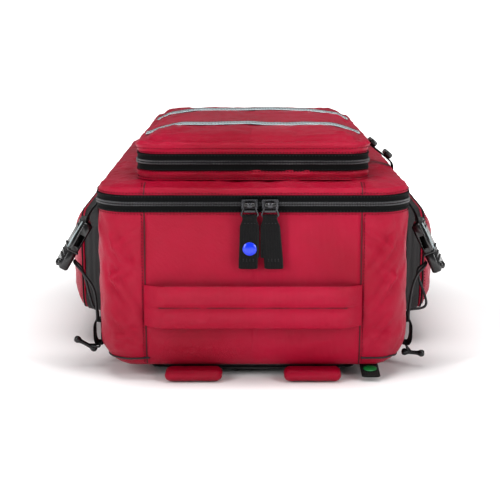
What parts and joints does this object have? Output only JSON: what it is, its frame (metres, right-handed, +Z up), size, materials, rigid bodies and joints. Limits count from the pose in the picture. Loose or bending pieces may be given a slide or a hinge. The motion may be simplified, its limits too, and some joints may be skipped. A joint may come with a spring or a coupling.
{
  "type": "trauma backpack",
  "caption": "Red coated trauma backpack lying on its harness, with clamshell lid, domed front pocket, side pockets, grab handle, side buckles and shoulder straps.",
  "frame": {"origin": "on the surface the pack lies on, under the middle of its box", "axes": "+X to the right seen from the grab-handle end, +Y from that end to the far end, +Z up"},
  "size_m": [0.488, 0.5524, 0.3015],
  "materials": {
    "coated_red": "satin PU-coated ripstop tarpaulin, sewn, lightly creased",
    "black_webbing": "woven nylon webbing and elastic cord",
    "black_zipper": "coated water-resistant zipper tape with a nylon coil",
    "black_plastic": "smooth moulded acetal",
    "mesh_foam": "spacer mesh over foam",
    "stiffener_board": "polyethylene sheet",
    "divider_foam": "brushed loop fabric over foam",
    "reflective_tape": "silver retroreflective tape",
    "blackened_steel": "glossy black zinc casting and wire",
    "blue_enamel": "gloss enamel snap cap",
    "green_enamel": "gloss enamel snap cap"
  },
  "bodies": {
    "pack": {"tub_shell": "coated_red", "frame_sheet": "stiffener_board", "divider_near": "divider_foam", "divider_far": "divider_foam", "back_panel": "mesh_foam", "lumbar_pad": "mesh_foam", "back_pad_left": "mesh_foam", "back_pad_right": "mesh_foam", "rear_zipper_tape": "black_zipper", "main_zipper_lower": "black_zipper", "handle_end_left": "coated_red", "handle_end_right": "coated_red", "side_pocket_left": "coated_red", "side_pocket_right": "coated_red", "side_webbing_left": "black_webbing", "side_webbing_right": "black_webbing", "buckle_webbing_left": "black_webbing", "buckle_webbing_right": "black_webbing", "buckle_socket_left": "black_plastic", "buckle_socket_right": "black_plastic", "shock_cord_left": "black_webbing", "shock_cord_right": "black_webbing", "cord_sleeve_left": "black_webbing", "cord_sleeve_right": "black_webbing", "toggle_left": "black_plastic", "toggle_right": "black_plastic", "strap_yoke_left": "coated_red", "strap_yoke_right": "coated_red", "strap_webbing_left": "black_webbing", "strap_webbing_right": "black_webbing"},
    "lid": {"lid_shell": "coated_red", "main_zipper_upper": "black_zipper", "pocket_body": "coated_red", "pocket_zipper_lower": "black_zipper", "lid_strap": "black_webbing"},
    "pocket_lid": {"pocket_lid": "coated_red", "pocket_zipper_upper": "black_zipper", "reflective_strip_near": "reflective_tape", "reflective_strip_far": "reflective_tape"},
    "pocket_slider": {"pocket_slider": "blackened_steel"},
    "handle": {"handle_grip": "coated_red"},
    "slider_left": {"main_slider_left": "blackened_steel"},
    "slider_right": {"main_slider_right": "blackened_steel"},
    "pull_left": {"pull_bail_left": "blackened_steel", "pull_tab_left": "black_webbing", "snap_blue": "blue_enamel"},
    "pull_right": {"pull_bail_right": "blackened_steel", "pull_tab_right": "black_webbing"},
    "plug_left": {"buckle_plug_left": "black_plastic"},
    "plug_right": {"buckle_plug_right": "black_plastic"},
    "rear_slider": {"rear_slider": "blackened_steel", "rear_pull_tab": "black_webbing", "snap_green": "green_enamel"},
    "side_flap_left": {"side_flap_left": "coated_red"},
    "side_flap_right": {"side_flap_right": "coated_red"},
    "shoulder_strap_left": {"shoulder_strap_left": "mesh_foam"},
    "shoulder_strap_right": {"shoulder_strap_right": "mesh_foam"}
  },
  "joints": [
    {"name": "lid_hinge", "type": "hinge", "parent": "pack", "child": "lid", "pos_m": [0.00122, 0.27478, 0.2175], "axis": [-1, 0, 0], "range_deg": [0, 180]},
    {"name": "pocket_lid_hinge", "type": "hinge", "parent": "lid", "child": "pocket_lid", "pos_m": [0.00122, 0.16028, 0.2614], "axis": [-1, 0, 0], "range_deg": [0, 90]},
    {"name": "pocket_slider_slide", "type": "slide", "parent": "lid", "child": "pocket_slider", "axis": [0, -1, 0], "range_m": [0, 0.16]},
    {"name": "main_slider_left_slide", "type": "slide", "parent": "pack", "child": "slider_left", "axis": [-1, 0, 0], "range_m": [0, 0.12]},
    {"name": "main_slider_right_slide", "type": "slide", "parent": "pack", "child": "slider_right", "axis": [1, 0, 0], "range_m": [0, 0.108]},
    {"name": "pull_left_swing", "type": "hinge", "parent": "slider_left", "child": "pull_left", "pos_m": [-0.00278, -0.26182, 0.2175], "axis": [-1, 0, 0], "range_deg": [0, 120]},
    {"name": "pull_right_swing", "type": "hinge", "parent": "slider_right", "child": "pull_right", "pos_m": [0.02122, -0.26182, 0.2175], "axis": [-1, 0, 0], "range_deg": [0, 120]},
    {"name": "grab_handle_pull", "type": "slide", "parent": "pack", "child": "handle", "axis": [0, -1, 0], "range_m": [0, 0.025]},
    {"name": "buckle_left_release", "type": "slide", "parent": "pack", "child": "plug_left", "axis": [-0.515, 0, -0.8572], "range_m": [0, 0.035], "deforming": ["shock_cord_left"]},
    {"name": "buckle_right_release", "type": "slide", "parent": "pack", "child": "plug_right", "axis": [0.4384, 0, -0.8988], "range_m": [0, 0.035], "deforming": ["shock_cord_right"]},
    {"name": "rear_slider_slide", "type": "slide", "parent": "pack", "child": "rear_slider", "axis": [0, 1, 0], "range_m": [0, 0.3]},
    {"name": "side_flap_left_hinge", "type": "hinge", "parent": "pack", "child": "side_flap_left", "pos_m": [-0.22058, 0.00928, 0.185], "axis": [0, 1, 0], "range_deg": [0, 100]},
    {"name": "side_flap_right_hinge", "type": "hinge", "parent": "pack", "child": "side_flap_right", "pos_m": [0.22302, 0.00928, 0.185], "axis": [0, -1, 0], "range_deg": [0, 100]},
    {"name": "shoulder_strap_left_swing", "type": "hinge", "parent": "pack", "child": "shoulder_strap_left", "pos_m": [-0.07078, -0.23592, 0.0008], "axis": [-1, 0, 0], "range_deg": [0, 25]},
    {"name": "shoulder_strap_right_swing", "type": "hinge", "parent": "pack", "child": "shoulder_strap_right", "pos_m": [0.07322, -0.23592, 0.0008], "axis": [-1, 0, 0], "range_deg": [0, 25]}
  ]
}
